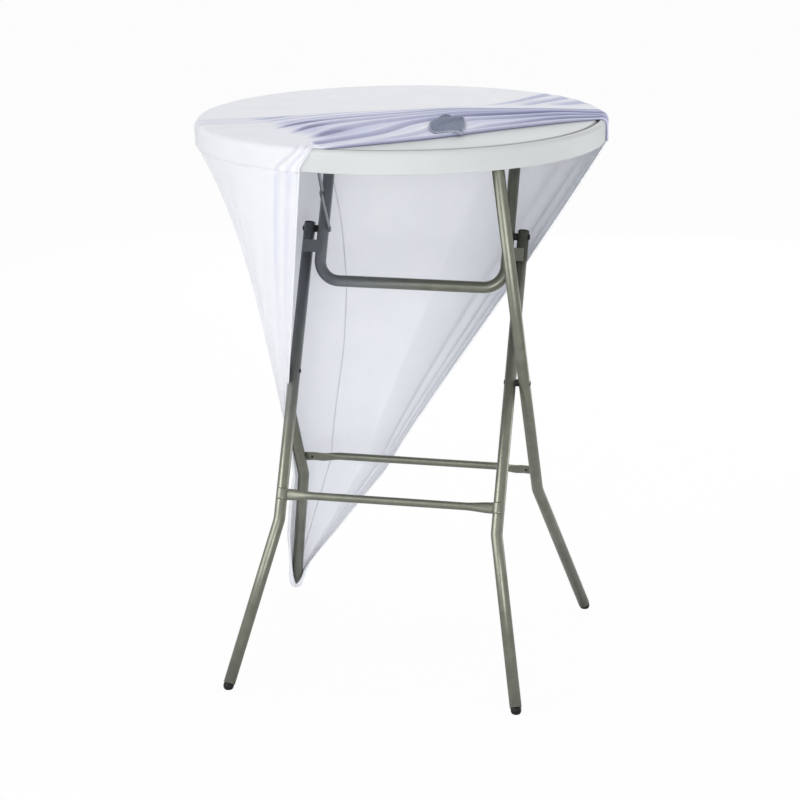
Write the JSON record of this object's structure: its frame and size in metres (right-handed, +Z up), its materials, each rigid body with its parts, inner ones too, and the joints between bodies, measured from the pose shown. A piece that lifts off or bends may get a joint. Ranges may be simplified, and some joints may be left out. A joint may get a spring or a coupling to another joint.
{
  "type": "folding high table",
  "caption": "Round high table with a moulded white top on folding scissor legs of grey-green steel tube, with a white stretch cover pulled half over it.",
  "frame": {"origin": "on the floor, under the centre of the round top", "axes": "+Z up; +X to the right along the crossbars; -Y is the front, where the front feet stand"},
  "size_m": [0.8022, 0.8023, 1.117],
  "materials": {
    "white_plastic": "fine grain",
    "grey_green_steel": "hammered powder coat, satin",
    "black_plastic": "satin",
    "white_stretch_cloth": "stretch knit"
  },
  "bodies": {
    "top": {"table_top": "white_plastic", "front_hinge_bracket_left": "grey_green_steel", "front_hinge_bracket_right": "grey_green_steel", "front_bracket_screw_left_front": "black_plastic", "front_bracket_screw_left_back": "black_plastic", "front_bracket_screw_right_front": "black_plastic", "front_bracket_screw_right_back": "black_plastic", "rear_hinge_bracket_left": "grey_green_steel", "rear_hinge_bracket_right": "grey_green_steel", "rear_bracket_screw_left_front": "black_plastic", "rear_bracket_screw_left_back": "black_plastic", "rear_bracket_screw_right_front": "black_plastic", "rear_bracket_screw_right_back": "black_plastic", "brace_pivot_rod": "grey_green_steel", "brace_rod_cap_left": "black_plastic", "brace_rod_cap_right": "black_plastic", "lock_stay_ear": "grey_green_steel", "lock_stay_ear_screw": "black_plastic", "lock_stay_hinge_rivet": "black_plastic", "cover_bunch": "white_stretch_cloth", "cover_top": "white_stretch_cloth", "cover_skirt": "white_stretch_cloth"},
    "rear_leg_frame": {"rear_leg_left": "grey_green_steel", "rear_leg_right": "grey_green_steel", "rear_frame_pivot_tube": "grey_green_steel", "rear_crossbar": "grey_green_steel", "rear_crossbar_rivet_left": "black_plastic", "rear_crossbar_rivet_right": "black_plastic", "rear_foot_left": "black_plastic", "rear_foot_right": "black_plastic", "crossing_bolt_left": "black_plastic", "crossing_bolt_right": "black_plastic", "crossing_spacer_left": "black_plastic", "crossing_spacer_right": "black_plastic", "cover_foot_pocket": "white_stretch_cloth"},
    "brace": {"brace_tube": "grey_green_steel", "stop_clip_left": "grey_green_steel", "stop_clip_right": "grey_green_steel", "knee_bolt_left": "black_plastic", "knee_bolt_right": "black_plastic", "knee_spacer_left": "black_plastic", "knee_spacer_right": "black_plastic"},
    "front_leg_frame": {"front_leg_left": "grey_green_steel", "front_leg_right": "grey_green_steel", "front_leg_cap_left": "black_plastic", "front_leg_cap_right": "black_plastic", "front_crossbar": "grey_green_steel", "front_foot_left": "black_plastic", "front_foot_right": "black_plastic", "crossing_nut_left": "black_plastic", "crossing_nut_right": "black_plastic"},
    "stay_upper": {"lock_stay_upper_link": "grey_green_steel", "lock_stay_knuckle_rivet": "black_plastic"},
    "stay_lower": {"lock_stay_lower_link": "grey_green_steel"}
  },
  "joints": [
    {"name": "fold", "type": "hinge", "parent": "top", "child": "rear_leg_frame", "pos_m": [0, -0.288, 1.07], "axis": [1, 0, 0], "range_deg": [0, 59.16], "deforming": ["cover_skirt"]},
    {"name": "brace", "type": "hinge", "parent": "top", "child": "brace", "pos_m": [0, 0.2114, 1.07], "axis": [1, 0, 0], "range_deg": [-63.29, 0]},
    {"name": "front_legs", "type": "hinge", "parent": "brace", "child": "front_leg_frame", "pos_m": [0, 0.1105, 0.8515], "axis": [1, 0, 0], "range_deg": [0, 177.31]},
    {"name": "stay_upper", "type": "hinge", "parent": "top", "child": "stay_upper", "pos_m": [0, -0.01, 1.058], "axis": [1, 0, 0], "range_deg": [0, 61.73]},
    {"name": "stay_lower", "type": "hinge", "parent": "brace", "child": "stay_lower", "pos_m": [0, 0.1105, 0.8515], "axis": [1, 0, 0], "range_deg": [-60.88, 0]}
  ],
  "couplings": [
    {"joint": "brace", "follows": "fold", "ratio": -1.069},
    {"joint": "front_legs", "follows": "fold", "ratio": 2.9963},
    {"joint": "stay_upper", "follows": "fold", "ratio": 1.0426},
    {"joint": "stay_lower", "follows": "fold", "ratio": -1.0282}
  ]
}
